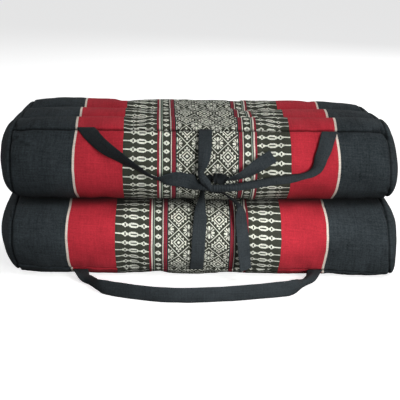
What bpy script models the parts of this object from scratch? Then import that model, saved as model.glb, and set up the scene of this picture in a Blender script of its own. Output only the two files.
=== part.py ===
"""A foldable meditation cushion, folded shut and tied at the front. Metres, +Z up.

Two filled cloth blocks lie one on the other. A cloth strip joins them at the back. Each block's outer face
is sewn into three channels that run along X. Flat straps form a handle on each block and a tie on each
block, and the two ties cross in a loose knot around the upper handle. The origin is on the floor under the
middle channel of the lower block, +X runs along the channels and +Y to the back.
"""

import math

import bmesh
import bpy
from mathutils import Vector
from mathutils.bvhtree import BVHTree

# Overall size
WIDTH = 0.400
HEIGHT = 0.1600
CONTACT_HEIGHT = 0.0772
LOWER_WIDTH_GAIN = 0.003
LOWER_SHIFT_X = 0.0012
GAP = 0.0003

# Seams and channels of a block, as depths along Y
FRONT_SEAM_Y = -0.080
BACK_SEAM_Y = 0.096
VALLEY_FRONT_Y = -0.033
VALLEY_BACK_Y = 0.033
INNER_FRONT_Y = -0.074
INNER_BACK_Y = 0.088

# Fullness of a block
SEAM_DROP = 0.0098
VALLEY_DEPTH = 0.0125
INNER_SEAM_LIFT = 0.0060
FRONT_BULGE = 0.0210
BACK_BULGE = 0.0140
END_BULGE = 0.0125
END_SEAM_X = WIDTH / 2 - END_BULGE
FLOOR_SQUASH = 0.0022
INNER_SQUASH = 0.0040
REAR_RIGHT_SAG = 0.0045
FRONT_LEFT_SAG = 0.0018
LOWER_LEFT_DRAW = 0.007
REAR_LEFT_DRAW = 0.006
RIGHT_CORNER_OUT = 0.0090
RIGHT_CORNER_DROP = 0.55
END_REACH = 0.070
END_GROOVE_LOSS = 0.75
END_DRAW_Y = 0.085
END_DRAW_H = 0.075
END_LEAN = 0.0055

# Mesh steps
STATIONS = 27
FRONT_STEPS = 9
CHANNEL_STEPS = 8
BACK_STEPS = 6
INNER_STEPS = 8
END_RINGS = (0.975, 0.90, 0.75, 0.52, 0.26)

# Straps
STRAP_THICKNESS = 0.0016
HANDLE_WIDTH = 0.0155
TIE_WIDTH = 0.0132
SEAM_REACH = 0.020
CURVE_STEPS = 3
CLEARANCE = 0.0006
MM = 0.001

# Rays that find the cloth's surface start this far outside it
RAY_START = 0.3

# Each row of a strap: x, y and z of its middle in millimetres, its roll in degrees, and how far it is
# gathered, from 0 at full width. The roll turns the strap about its own line.

# Left end in the top front seam, down to the knot, and up to the right end in the same seam
UPPER_HANDLE_ROWS = (
    (-111.5, -79.5, 151.0, 0, 0.0),
    (-104.0, -86.0, 146.0, -8, 0.0),
    (-94.4, -95.0, 138.3, -24, 0.0),
    (-85.0, -101.0, 131.5, -40, 0.0),
    (-72.3, -106.0, 124.3, -57, 0.0),
    (-57.2, -107.0, 116.3, -68, 0.0),
    (-43.1, -107.0, 109.8, -73, 0.0),
    (-36.0, -106.5, 107.0, -62, 0.0),
    (-23.1, -105.5, 105.8, -25, 0.0),
    (-10.7, -105.0, 105.2, -5, 0.0),
    (-1.5, -105.0, 103.9, 0, 0.05),
    (5.6, -105.2, 102.2, 2, 0.20),
    (12.0, -105.3, 100.6, 9, 0.32),
    (20.0, -105.4, 99.8, 22, 0.36),
    (29.0, -105.8, 99.8, 30, 0.38),
    (47.0, -106.2, 101.8, 42, 0.42),
    (66.0, -106.5, 105.4, 46, 0.38),
    (86.4, -107.0, 108.4, 64, 0.24),
    (98.6, -107.5, 111.6, 76, 0.10),
    (106.6, -107.2, 115.4, 62, 0.05),
    (111.6, -105.0, 120.0, 38, 0.06),
    (115.4, -101.0, 127.6, 14, 0.08),
    (119.0, -96.0, 135.6, 4, 0.08),
    (121.8, -89.0, 143.8, 0, 0.05),
    (124.2, -79.5, 151.0, 0, 0.0),
)

# Left end in the bottom front seam, round over the floor on its long edge, and back to the same seam
LOWER_HANDLE_ROWS = (
    (-118.0, -80.5, 8.6, 84, 0.0),
    (-112.5, -92.0, 6.6, 74, 0.0),
    (-106.5, -103.0, 5.4, 62, 0.0),
    (-100.0, -114.0, 5.2, 52, 0.0),
    (-91.5, -125.0, 5.8, 38, 0.0),
    (-80.0, -133.5, 6.8, 20, 0.0),
    (-66.0, -141.0, 7.4, 4, 0.0),
    (-46.0, -148.5, 7.4, -8, 0.0),
    (-22.0, -153.0, 7.4, -8, 0.0),
    (4.0, -153.5, 7.4, -8, 0.0),
    (36.0, -148.5, 7.4, -6, 0.0),
    (64.0, -141.5, 7.4, 0, 0.0),
    (80.0, -135.5, 7.0, 10, 0.0),
    (89.5, -126.0, 6.4, 24, 0.0),
    (95.5, -114.0, 5.6, 42, 0.0),
    (103.0, -102.5, 5.6, 58, 0.0),
    (110.5, -91.5, 6.8, 72, 0.0),
    (117.0, -80.5, 8.6, 84, 0.0),
)

# From the top front seam, across the handle, under its lower edge and down to the free end
UPPER_TIE_ROWS = (
    (5.0, -79.5, 151.2, 0, 0.0),
    (4.2, -90.0, 141.0, 0, 0.0),
    (3.9, -98.5, 130.0, 0, 0.0),
    (3.0, -101.5, 121.5, 0, 0.15),
    (1.9, -106.2, 115.6, 0, 0.42),
    (3.2, -108.4, 109.3, 0, 0.42),
    (6.8, -108.5, 102.5, 0, 0.30),
    (10.4, -109.3, 97.2, 0, 0.42),
    (13.4, -108.5, 93.4, 0, 0.50),
    (17.4, -104.5, 91.8, 0, 0.46),
    (22.3, -99.8, 91.2, 40, 0.34),
    (28.5, -95.2, 87.4, 55, 0.15),
    (34.6, -92.6, 82.2, 44, 0.0),
    (38.6, -93.2, 77.0, 32, 0.0),
    (40.2, -96.0, 71.0, 24, 0.0),
    (40.3, -99.0, 64.0, 20, 0.0),
    (40.3, -101.8, 53.0, 18, 0.0),
    (41.0, -102.4, 43.0, 20, 0.0),
    (42.0, -101.8, 32.5, 24, 0.0),
    (43.2, -100.8, 23.5, 28, 0.0),
    (44.2, -99.6, 15.0, 32, 0.0),
)

# From the bottom front seam, behind the handle, over its upper edge and up to the free end
LOWER_TIE_ROWS = (
    (-3.2, -81.0, 10.4, 0, 0.0),
    (-2.7, -90.0, 20.0, 0, 0.0),
    (-1.9, -97.0, 31.0, 0, 0.0),
    (-1.5, -99.5, 46.7, 0, 0.0),
    (-0.7, -96.0, 60.0, 0, 0.0),
    (0.1, -91.5, 70.0, 0, 0.05),
    (0.8, -89.5, 79.0, 0, 0.15),
    (1.9, -93.5, 88.0, 0, 0.35),
    (3.6, -98.3, 95.0, 0, 0.45),
    (5.8, -100.9, 100.4, 0, 0.50),
    (8.4, -100.9, 105.6, -5, 0.50),
    (12.2, -102.0, 109.6, -15, 0.42),
    (20.0, -104.0, 110.2, -34, 0.24),
    (29.4, -105.0, 112.2, -30, 0.08),
    (37.0, -105.0, 115.4, -16, 0.0),
    (45.4, -104.5, 119.8, 0, 0.0),
    (55.0, -103.8, 124.9, 8, 0.0),
    (68.0, -102.6, 131.4, 14, 0.0),
)

# Hinge cloth at the back: its height, how deep it folds into the notch, and its width
HINGE_HALF_HEIGHT = 0.021
HINGE_TUCK = 0.0075
HINGE_HALF_WIDTH = 0.165
HINGE_CLEARANCE = 0.0007
HINGE_STEPS_X = 16
HINGE_STEPS_Z = 10


def clear_scene():
    for item in list(bpy.data.objects):
        bpy.data.objects.remove(item, do_unlink=True)


def cloth(name, colour, roughness):
    material = bpy.data.materials.new(name)
    material.use_nodes = True
    shader = material.node_tree.nodes["Principled BSDF"]
    shader.inputs["Base Color"].default_value = (*colour, 1.0)
    shader.inputs["Roughness"].default_value = roughness
    shader.inputs["Metallic"].default_value = 0.0
    return material


def puff(start, end, rise, steps, fullness=2.3, skew=1.0):
    """Points of one filled stretch of cloth between two seams, without its last point. It bulges to the left
    of the way from start to end."""
    along = end - start
    outward = Vector((-along.y, along.x)).normalized()
    points = []
    for i in range(steps):
        t = i / steps
        swell = 1.0 - abs(2.0 * t ** skew - 1.0) ** fullness
        points.append(start + along * t + outward * (rise * swell))
    return points


def end_closeness(x):
    """0 along the middle of a block, rising to 1 at the seam of its end panel."""
    t = max(0.0, (abs(x) - (END_SEAM_X - END_REACH)) / END_REACH)
    return 1.0 - math.sqrt(max(0.0, 1.0 - min(1.0, t) ** 2.6))


def section(height, squash, closeness):
    """A block's section as (y, h) points, h rising from the inner face at 0 to the channel crests at height."""
    fill = 1.0 - END_GROOVE_LOSS * closeness
    valley = height - VALLEY_DEPTH * fill
    seam = height - SEAM_DROP
    inner_front = Vector((INNER_FRONT_Y, INNER_SEAM_LIFT))
    front = Vector((FRONT_SEAM_Y, seam))
    valley_front = Vector((VALLEY_FRONT_Y, valley))
    valley_back = Vector((VALLEY_BACK_Y, valley))
    back = Vector((BACK_SEAM_Y, seam))
    inner_back = Vector((INNER_BACK_Y, INNER_SEAM_LIFT))
    middle_rise = VALLEY_DEPTH * fill + squash
    side_rise = height + squash - (seam + valley) / 2
    points = []
    points += puff(inner_front, front, FRONT_BULGE, FRONT_STEPS, 2.2, 0.92)
    points += puff(front, valley_front, side_rise, CHANNEL_STEPS, 2.3, 0.86)
    points += puff(valley_front, valley_back, middle_rise, CHANNEL_STEPS)
    points += puff(valley_back, back, side_rise, CHANNEL_STEPS, 2.3, 1.1)
    points += puff(back, inner_back, BACK_BULGE, BACK_STEPS)
    points += puff(inner_back, inner_front, INNER_SEAM_LIFT + INNER_SQUASH, INNER_STEPS, 3.0)
    return points


def ring(height, squash, x, scale):
    """One ring of a block at x. The section draws in towards the end panel."""
    closeness = end_closeness(x)
    middle = Vector(((FRONT_SEAM_Y + BACK_SEAM_Y) / 2, height / 2))
    draw_y = (1.0 - END_DRAW_Y * closeness) * scale
    draw_h = (1.0 - END_DRAW_H * closeness) * scale
    points = []
    for point in section(height, squash, closeness):
        y = middle.x + (point.x - middle.x) * draw_y
        h = middle.y + (point.y - middle.y) * draw_h
        points.append((x, y, min(max(h, 0.0), height)))
    return points


def block_rings(height, squash):
    """All rings of a block from its left end panel to its right one."""
    rings = []
    dome = [(math.sqrt(1.0 - s * s), s) for s in END_RINGS]
    for out, scale in reversed(dome):
        rings.append((-END_SEAM_X - END_BULGE * out, scale))
    for i in range(STATIONS):
        t = -1.0 + 2.0 * i / (STATIONS - 1)
        rings.append((END_SEAM_X * math.sin(t * math.pi / 2) * 0.45 + END_SEAM_X * t * 0.55, 1.0))
    for out, scale in dome:
        rings.append((END_SEAM_X + END_BULGE * out, scale))
    return [ring_at_end(height, squash, x, scale) for x, scale in rings]


def ring_at_end(height, squash, x, scale):
    """A ring of the end panel keeps the section of the panel's seam, shrunk towards its middle."""
    seam_x = max(-END_SEAM_X, min(END_SEAM_X, x))
    return [(x, y, h) for _, y, h in ring(height, squash, seam_x, scale)]


def make_block(name, height, squash, place, material):
    mesh = bpy.data.meshes.new(name)
    shape = bmesh.new()
    rings = []
    for points in block_rings(height, squash):
        rings.append([shape.verts.new(place(*point)) for point in points])
    count = len(rings[0])
    for low, high in zip(rings, rings[1:]):
        for i in range(count):
            j = (i + 1) % count
            shape.faces.new((low[i], low[j], high[j], high[i]))
    for end in (rings[0], rings[-1]):
        centre = sum((v.co for v in end), Vector()) / count
        side = 1.0 if end is rings[-1] else -1.0
        tip = shape.verts.new((side * WIDTH / 2, centre.y, centre.z))
        for i in range(count):
            shape.faces.new((end[i], end[(i + 1) % count], tip))
    bmesh.ops.recalc_face_normals(shape, faces=shape.faces)
    shape.to_mesh(mesh)
    shape.free()
    mesh.shade_smooth()
    mesh.materials.append(material)
    block = bpy.data.objects.new(name, mesh)
    bpy.context.scene.collection.objects.link(block)
    return block


def lean_end(x, h, height):
    """Draws the two ends of a block in along their top and bottom edges."""
    edge = (2.0 * h / height - 1.0) ** 2
    return x - math.copysign(END_LEAN * edge * (2.0 * abs(x) / WIDTH) ** 6, x)


def fill_low_corner(x, rise, height):
    """x and rise with the low corner of the right end filled out. Rise is the height above the block's underside."""
    end = max(0.0, 2.0 * x / WIDTH) ** 6
    low = (1.0 - rise / height) ** 2
    return x + RIGHT_CORNER_OUT * end * low, rise * (1.0 - RIGHT_CORNER_DROP * end * low)


def place_upper(x, y, h):
    """The upper block: crests up, settled a little lower at its rear right and front left."""
    height = HEIGHT - CONTACT_HEIGHT
    rear = min(1.0, max(0.0, (y - FRONT_SEAM_Y) / (BACK_SEAM_Y - FRONT_SEAM_Y)))
    right = 0.5 + x / WIDTH
    sag = (REAR_RIGHT_SAG * rear * right + FRONT_LEFT_SAG * (1.0 - rear) * (1.0 - right)) * h / height
    draw = REAR_LEFT_DRAW * rear * max(0.0, -2.0 * x / WIDTH) ** 4 * h / height
    full_x, rise = fill_low_corner(lean_end(x, h, height) + draw, h, height)
    return (full_x, y, CONTACT_HEIGHT + GAP / 2 + rise - sag)


def place_lower(x, y, h):
    """The lower block: turned over, its crests flat on the floor. It is a little wider and further right, and
    its bottom edge draws back at the front left."""
    height = CONTACT_HEIGHT - GAP / 2
    full_x, rise = fill_low_corner(lean_end(x, h, height), height - h, height)
    left = max(0.0, -2.0 * x / WIDTH)
    front = min(1.0, max(0.0, (VALLEY_FRONT_Y - y) / (VALLEY_FRONT_Y - FRONT_SEAM_Y)))
    back = LOWER_LEFT_DRAW * left * front * (h / height) ** 2
    return (full_x * (1.0 + LOWER_WIDTH_GAIN / WIDTH) + LOWER_SHIFT_X, y + back, rise)


def smooth_rows(rows):
    """The rows with steps between them, on a Catmull-Rom curve through every column."""
    first = [2 * a - b for a, b in zip(rows[0], rows[1])]
    last = [2 * a - b for a, b in zip(rows[-1], rows[-2])]
    knots = [first, *rows, last]
    out = []
    for i in range(1, len(knots) - 2):
        for step in range(CURVE_STEPS):
            t = step / CURVE_STEPS
            out.append([curve_value(t, *(knots[i + k][column] for k in (-1, 0, 1, 2)))
                        for column in range(len(rows[0]))])
    out.append(list(rows[-1]))
    return out


def curve_value(t, before, start, end, after):
    slope_in = (end - before) / 2
    slope_out = (after - start) / 2
    cubic = 2 * (start - end) + slope_in + slope_out
    square = 3 * (end - start) - 2 * slope_in - slope_out
    return start + t * (slope_in + t * (square + t * cubic))


def handle_level(along):
    """The width of a handle at roll 0: in the plane of the front."""
    return Vector((0, 1, 0)).cross(along).normalized()


def tie_level(along):
    """The width of a tie at roll 0: as near to +X as it can lie."""
    return (Vector((1, 0, 0)) - along * along.x).normalized()


def seam_hold(point, end):
    """1 where a strap is sewn in at its end, falling to 0 along it."""
    return max(0.0, 1.0 - (point - end).length / SEAM_REACH)


def push_off(corners, surfaces, outward):
    """Moves a strap's section along outward until its corners clear the cloth that it lies on."""
    push = 0.0
    for corner in corners:
        for surface in surfaces:
            start = corner + outward * RAY_START
            hit = surface.ray_cast(start, -outward)[0]
            if hit is not None:
                push = max(push, CLEARANCE - (corner - hit).dot(outward))
    return [corner + outward * push for corner in corners]


def make_strap(name, rows, width, level_of, both_ends, surfaces, material):
    """A flat strap along its rows. At roll 0 its width lies along level_of. Its sewn ends lie along a seam."""
    rows = smooth_rows(rows)
    centres = [Vector(row[:3]) * MM for row in rows]
    sections = []
    for i, row in enumerate(rows):
        along = centres[min(i + 1, len(rows) - 1)] - centres[max(i - 1, 0)]
        along.normalize()
        level = level_of(along)
        out = level.cross(along)
        roll = math.radians(row[3])
        across = level * math.cos(roll) + out * math.sin(roll)
        sewn = max(seam_hold(centres[i], centres[0]), seam_hold(centres[i], centres[-1]) * both_ends)
        across = across.lerp(Vector((math.copysign(1.0, across.x), 0, 0)), sewn).normalized()
        face = along.cross(across).normalized()
        gather = min(1.0, max(0.0, row[4]))
        half_width = across * (width / 2 * (1.0 - gather))
        half_thick = face * (STRAP_THICKNESS / 2 * (1.0 + gather))
        corners = [centres[i] + half_width * a + half_thick * b for a, b in ((-1, -1), (1, -1), (1, 1), (-1, 1))]
        corners = push_off(corners, surfaces, Vector((0, -1, 0)))
        under_floor = max(0.0, -min(corner.z for corner in corners))
        sections.append([corner + Vector((0, 0, under_floor)) for corner in corners])
    return make_tube(name, sections, material)


def make_tube(name, sections, material):
    """A closed solid through sections of four corners each."""
    mesh = bpy.data.meshes.new(name)
    shape = bmesh.new()
    rings = [[shape.verts.new(corner) for corner in section_corners] for section_corners in sections]
    for low, high in zip(rings, rings[1:]):
        for i in range(4):
            j = (i + 1) % 4
            shape.faces.new((low[i], low[j], high[j], high[i]))
    shape.faces.new(rings[0])
    shape.faces.new(rings[-1])
    bmesh.ops.recalc_face_normals(shape, faces=shape.faces)
    shape.to_mesh(mesh)
    shape.free()
    mesh.materials.append(material)
    strap = bpy.data.objects.new(name, mesh)
    bpy.context.scene.collection.objects.link(strap)
    return strap


def make_hinge(name, surfaces, material):
    """A strip of cloth over the back of both blocks, tucked a little into the notch between them."""
    rows = []
    for i in range(HINGE_STEPS_X + 1):
        x = HINGE_HALF_WIDTH * (2.0 * i / HINGE_STEPS_X - 1.0)
        row = []
        for j in range(HINGE_STEPS_Z + 1):
            t = 2.0 * j / HINGE_STEPS_Z - 1.0
            z = CONTACT_HEIGHT + HINGE_HALF_HEIGHT * t
            seat = back_surface(x, z, surfaces)
            bridge = back_surface(x, CONTACT_HEIGHT + math.copysign(HINGE_HALF_HEIGHT, t), surfaces)
            bridge -= HINGE_TUCK * (1.0 - abs(t)) ** 1.5
            row.append(Vector((x, max(seat, bridge) + HINGE_CLEARANCE, z)))
        rows.append(row)
    mesh = bpy.data.meshes.new(name)
    shape = bmesh.new()
    inner = [[shape.verts.new(p) for p in row] for row in rows]
    outer = [[shape.verts.new(p + Vector((0, STRAP_THICKNESS, 0))) for p in row] for row in rows]
    for i in range(HINGE_STEPS_X):
        for j in range(HINGE_STEPS_Z):
            for sheet in (inner, outer):
                shape.faces.new((sheet[i][j], sheet[i + 1][j], sheet[i + 1][j + 1], sheet[i][j + 1]))
    for j in range(HINGE_STEPS_Z):
        for i in (0, HINGE_STEPS_X):
            shape.faces.new((inner[i][j], inner[i][j + 1], outer[i][j + 1], outer[i][j]))
    for i in range(HINGE_STEPS_X):
        for j in (0, HINGE_STEPS_Z):
            shape.faces.new((inner[i][j], inner[i + 1][j], outer[i + 1][j], outer[i][j]))
    bmesh.ops.recalc_face_normals(shape, faces=shape.faces)
    shape.to_mesh(mesh)
    shape.free()
    mesh.materials.append(material)
    hinge = bpy.data.objects.new(name, mesh)
    bpy.context.scene.collection.objects.link(hinge)
    return hinge


def back_surface(x, z, surfaces):
    """How far back the blocks reach at x and z."""
    found = VALLEY_BACK_Y
    for surface in surfaces:
        hit = surface.ray_cast(Vector((x, RAY_START, z)), Vector((0, -1, 0)))[0]
        if hit is not None:
            found = max(found, hit.y)
    return found


def surface_of(block):
    mesh = block.data
    return BVHTree.FromPolygons([v.co for v in mesh.vertices], [p.vertices for p in mesh.polygons])


def main():
    clear_scene()
    cover = cloth("patterned_cover", (0.40, 0.03, 0.05), 0.85)
    strap_cloth = cloth("strap_cloth", (0.035, 0.045, 0.055), 0.90)
    upper_height = HEIGHT - CONTACT_HEIGHT - GAP / 2
    lower_height = CONTACT_HEIGHT - GAP / 2
    upper = make_block("upper_block", upper_height, 0.0, place_upper, cover)
    lower = make_block("lower_block", lower_height, FLOOR_SQUASH, place_lower, cover)
    surfaces = [surface_of(upper), surface_of(lower)]
    make_hinge("hinge_strip", surfaces, strap_cloth)
    make_strap("upper_handle", UPPER_HANDLE_ROWS, HANDLE_WIDTH, handle_level, 1, surfaces, strap_cloth)
    make_strap("lower_handle", LOWER_HANDLE_ROWS, HANDLE_WIDTH, handle_level, 1, surfaces, strap_cloth)
    make_strap("upper_tie", UPPER_TIE_ROWS, TIE_WIDTH, tie_level, 0, surfaces, strap_cloth)
    make_strap("lower_tie", LOWER_TIE_ROWS, TIE_WIDTH, tie_level, 0, surfaces, strap_cloth)


main()
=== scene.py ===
"""Foldable meditation cushion, folded shut and tied at the front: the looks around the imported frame.

Metres, +Z up, +X to the right of someone facing the knot. The blocks' named sizes are close to those of the
solids, so each piece lies where its solid is.
"""

import math
import random

import bpy
import numpy as np
from mathutils import Matrix, Vector, noise
from mathutils.bvhtree import BVHTree


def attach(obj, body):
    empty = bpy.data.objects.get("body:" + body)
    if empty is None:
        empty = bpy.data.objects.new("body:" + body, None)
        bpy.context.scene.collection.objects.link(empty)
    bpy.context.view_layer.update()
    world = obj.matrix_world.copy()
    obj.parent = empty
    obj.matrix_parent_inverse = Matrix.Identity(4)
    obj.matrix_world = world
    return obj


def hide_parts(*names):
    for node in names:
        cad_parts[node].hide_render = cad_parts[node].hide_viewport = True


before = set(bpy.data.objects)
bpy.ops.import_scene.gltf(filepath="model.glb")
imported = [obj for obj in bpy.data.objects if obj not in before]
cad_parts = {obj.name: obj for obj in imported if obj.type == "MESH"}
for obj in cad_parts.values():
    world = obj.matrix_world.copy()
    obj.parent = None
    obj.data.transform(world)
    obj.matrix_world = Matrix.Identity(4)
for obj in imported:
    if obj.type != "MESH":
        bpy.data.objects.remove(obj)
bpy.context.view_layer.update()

# Size of the blocks and of the stretches between their seams
WIDTH = 0.400
HEIGHT = 0.1600
CONTACT_HEIGHT = 0.0772
LOWER_WIDTH_GAIN = 0.003
LOWER_SHIFT_X = 0.0012
GAP = 0.0003
FRONT_SEAM_Y = -0.080
BACK_SEAM_Y = 0.096
VALLEY_FRONT_Y = -0.033
VALLEY_BACK_Y = 0.033
INNER_FRONT_Y = -0.064
INNER_BACK_Y = 0.088
SEAM_DROP = 0.0098
SEAM_TILT = 0.0019
SEAM_TILT_REACH = 0.010
VALLEY_DEPTH = 0.0125
INNER_SEAM_LIFT = 0.0012
FRONT_BULGE = 0.0245
BACK_BULGE = 0.0140
END_SEAM_X = 0.1845
END_BULGE = 0.0182
END_BULGE_CURVE = 1.6
FLOOR_SQUASH = 0.0022
INNER_SQUASH = 0.0040
REAR_RIGHT_SAG = 0.0045
FRONT_LEFT_SAG = 0.0018
LOWER_LEFT_DRAW = 0.005
LOWER_DRAW = 0.006
LOWER_RIGHT_PUSH = 0.026
REAR_LEFT_DRAW = 0.010
REAR_RIGHT_DRAW = 0.009
UPPER_CORNER = (0.0090, 0.55, 2)
LOWER_CORNER = (0.0165, 1.0, 3)
CORNER_TAPER = 0.5
END_REACH = 0.070
END_CURVE = 2.6
END_GROOVE_LOSS = 0.75
END_DRAW_Y = 0.085
END_DRAW_H = 0.075
END_LEAN = 0.0055
STRAP_THICKNESS = 0.0016
HANDLE_WIDTH = 0.0155
TIE_WIDTH = 0.0132
SEAM_REACH = 0.020
MM = 0.001
ROUNDING = 1e-6
RAY_START = 0.3

# Mesh steps of a cover, closer together near its seams and ends
FRONT_STEPS = 40
CHANNEL_STEPS = 34
BACK_STEPS = 24
INNER_STEPS = 26
STATIONS = 301
END_STEPS = 20
SEAM_CROWDING = 0.75
STATION_CROWDING = 0.65

# Sewing: depths, heights, wave lengths and how far each reaches
SEAM_GROOVE = 0.0026
SEAM_GROOVE_REACH = 0.0009
SEAM_END_FADE = 0.0015
PUCKER_HEIGHT = 0.0008
PUCKER_REACH = 0.009
PUCKER_START = 0.0015
PUCKER_WAVE = 0.013
END_GROOVE = 0.0013
END_GROOVE_REACH = 0.0009
END_RIDGE = 0.0004
END_RIDGE_AWAY = 0.0030
END_RIDGE_REACH = 0.0018
END_PUCKER_REACH = 0.014
END_PUCKER_START = 0.002
END_PUCKER_WAVE = 0.021
LUMP_HEIGHT = 0.0010
LUMP_SCALE = 26.0
SMALL_LUMP_SCALE = 61.0

# Painted shade: how much the cloth's colour is darkened in seams, wrinkles, the fold between the blocks and
# the upper block above it
PAINTED_CREASE_REACH = 0.0010
SEAM_PAINTED_SHADE = 0.75
END_SEAM_PAINTED_SHADE = 0.40
WRINKLE_PAINTED_SHADE = 0.55
FOLD_PAINTED_SHADE = 0.95
FOLD_PAINTED_SHADE_REACH = 0.0014
UNDERSIDE_PAINTED_SHADE = 0.50
UNDERSIDE_PAINTED_SHADE_REACH = 0.011

# Cloth simulation of the covers
SIM_EVERY_RING = 5
SIM_EVERY_STEP = 4
SIM_FRAMES = 24
SIM_CAP = 0.003
SIM_MIDDLE = 0.12
SIM_END_FADE = 0.02
SIM_SETTINGS = {
    "quality": 8, "mass": 0.15, "air_damping": 4.0, "vertex_group_mass": "held", "shrink_min": -0.012,
    "tension_stiffness": 30.0, "compression_stiffness": 5.0, "shear_stiffness": 5.0,
    "bending_stiffness": 5.0, "use_pressure": True, "uniform_pressure_force": 4.0,
}

# Camera
CAMERA_AT = (-0.0385, -1.1788, 0.3341)
CAMERA_YAW = 2.01
CAMERA_PITCH = 12.99
CAMERA_ROLL = 0.69
FOCAL_PIXELS = 1146.47
PHOTO_PIXELS = 400
SENSOR_WIDTH = 36

# Floor and lights: a light's name, place, size and power, a spot's name, place, aim and power
WORLD_LIGHT = 0.07
WORLD_COLOUR = (0.95, 0.97, 1.0, 1.0)
FLOOR_COLOUR = (0.80, 0.80, 0.80)
FLOOR_GLOW = 0.72
FLOOR_Z = -0.0004
FLOOR_REACH = 12
FLOOR_BACK = 14
LIGHT_AIM = (0.0, -0.05, 0.08)
LIGHTS = (
    ("high_right", (0.60, -1.00, 1.00), (0.5, 0.5), 7.0),
    ("rear", (0.90, 1.60, 1.20), (1.6, 1.0), 15.0),
    ("above", (0.80, -0.40, 1.60), (1.0, 1.0), 2.4),
    ("left", (-1.50, 0.80, 0.60), (0.8, 0.8), 7.0),
)
SPOTS = (
    ("key", (0.50, -1.20, 0.30), (0.06, -0.10, 0.0), 67.0),
    ("fill", (-0.30, -1.20, 0.16), (-0.08, -0.10, 0.0), 16.0),
)
SPOT_ANGLE = 26.0
SPOT_RADIUS = 0.15

# Colours
CREAM = (0.72, 0.64, 0.56)
PALE_GREEN = (0.34, 0.42, 0.33)
CRIMSON = (0.270, 0.020, 0.034)
BLACK = (0.0315, 0.0395, 0.0440)
GROUND = (0.044, 0.048, 0.036)
RED = (0.46, 0.0275, 0.0425)
WHITE = (0.74, 0.76, 0.66)
STRAP_BLACK = (0.0300, 0.0365, 0.0405)

# The woven pattern, in millimetres of cloth
CLOTH_SCALE = 0.955
REPEAT = 26.4
ROW_REPEAT = REPEAT / 3
WAVER = 0.8
LATTICE_HALF_WIDTH = 10.3
PANEL_HALF_WIDTH = 31.0
MOTIF_MARGIN = 0.1
DIAMOND_MIDDLE = 41.1
DIAMOND_HALF_WIDTH = 3.2
DIAMOND_THREAD = 0.62
SPINDLE_MIDDLE = 67.6
SPINDLE_HALF_WIDTH = 17.0
SPINDLE_THREAD = 0.70
PLAIN_BLACK_FROM = 133.6
# Its stripes as distances from its centre line: middle, half width, colour
STRIPES = (
    (SPINDLE_MIDDLE, SPINDLE_HALF_WIDTH, GROUND),
    (DIAMOND_MIDDLE, 3.7, GROUND),
    (33.8, 1.55, CRIMSON),
    (33.7, 0.22, BLACK),
    (36.4, 0.40, CREAM),
    (45.3, 0.38, PALE_GREEN),
    (47.6, 0.75, CREAM),
    (49.5, 0.95, CRIMSON),
    (108.1, 23.5, RED),
    (132.5, 1.15, CREAM),
)
# Where the end panels' cloth starts, in metres from the centre line, past every stripe
END_CLOTH = 0.35
FAN_RISE = 0.0001

# One quarter of the middle panel's repeat: nested diamonds at the top left, a star at the bottom right
LATTICE_CHART = """
###....###...##...##
##....###...###.....
#....###...####.....
....###...#####.....
...###...#....#.....
..###...##.........#
.###...###........##
###...####.......##.
##...#####......##..
#...#....#.....##...
...##.........##....
..###........##.....
.####.......##......
#####......##.......
....#.....##......##
#........##...#...##
##......##...###..##
##.....##....###..##
#.....##......###.##
.....##...##...##.##
....##....####..#.##
...##......###...#.#
..##.........##....#
.##............#....
##........######..#.
#........#######....
""".split()
# Half of a row of spindles, from the thin red stripe outwards, with bare rows below it
SPINDLE_CHART = """
######..#########.........#######..#############
...###..###....##############.###..###..........
.....####.......############....####............
......##..........########.......##.............
.
.
.
""".split()
# One quarter of a small diamond in the narrow band
DIAMOND_CHART = """
.####
####.
###..
#....
.
.
.
""".split()


def mesh_object(name, vertices, faces, uvs=None, painted_shades=None):
    """A smooth mesh. uvs has a pair for each corner of each face; each vertex may have a value of painted
    shade.
    """
    mesh = bpy.data.meshes.new(name)
    mesh.from_pydata([tuple(v) for v in vertices], [], [tuple(f) for f in faces])
    if uvs is not None:
        layer = mesh.uv_layers.new(name="cloth")
        layer.data.foreach_set("uv", np.asarray(uvs, dtype=np.float32).ravel())
    if painted_shades is not None:
        # A point attribute of painted shade, by which the cloth's shader darkens its colour
        painted_shade = mesh.attributes.new("painted_shade", "FLOAT", "POINT")
        painted_shade.data.foreach_set("value", np.array(painted_shades, dtype=np.float32))
    mesh.validate()
    mesh.shade_smooth()
    piece = bpy.data.objects.new(name, mesh)
    bpy.context.scene.collection.objects.link(piece)
    return piece


def ring_quad(i, j, count):
    """The face between ring i and the next, from step j of count to the next."""
    k = (j + 1) % count
    return i * count + j, i * count + k, (i + 1) * count + k, (i + 1) * count + j


# The section of a block, stretch by stretch from its inner front edge
STRETCHES = (FRONT_STEPS, CHANNEL_STEPS, CHANNEL_STEPS, CHANNEL_STEPS, BACK_STEPS, INNER_STEPS)
SEAM_STEPS = np.cumsum((0, *STRETCHES))
FRONT_STEP, TOP_STEP, BACK_STEP, INNER_STEP = SEAM_STEPS[1], SEAM_STEPS[4], SEAM_STEPS[5], SEAM_STEPS[6]


def puff(start, end, steps, rise, skew, first_fullness, fullness):
    """Points of one filled stretch of cloth between two seams, closer together near the seams."""
    t = np.arange(steps) / steps
    t = (1.0 - SEAM_CROWDING) * t + SEAM_CROWDING / 2 * (1.0 - np.cos(math.pi * t))
    along = np.subtract(end, start)
    outward = np.array((-along[1], along[0])) / np.hypot(*along)
    share = 2.0 * t ** skew - 1.0
    swell = 1.0 - np.abs(share) ** np.where(share < 0.0, first_fullness, fullness)
    return np.add(start, t[:, None] * along) + outward * (rise * swell)[:, None]


def end_closeness(x):
    """0 along the middle of a block, rising to 1 at the seam of its end panel."""
    t = max(0.0, (abs(x) - (END_SEAM_X - END_REACH)) / END_REACH)
    return 1.0 - math.sqrt(max(0.0, 1.0 - min(1.0, t) ** END_CURVE))


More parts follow.
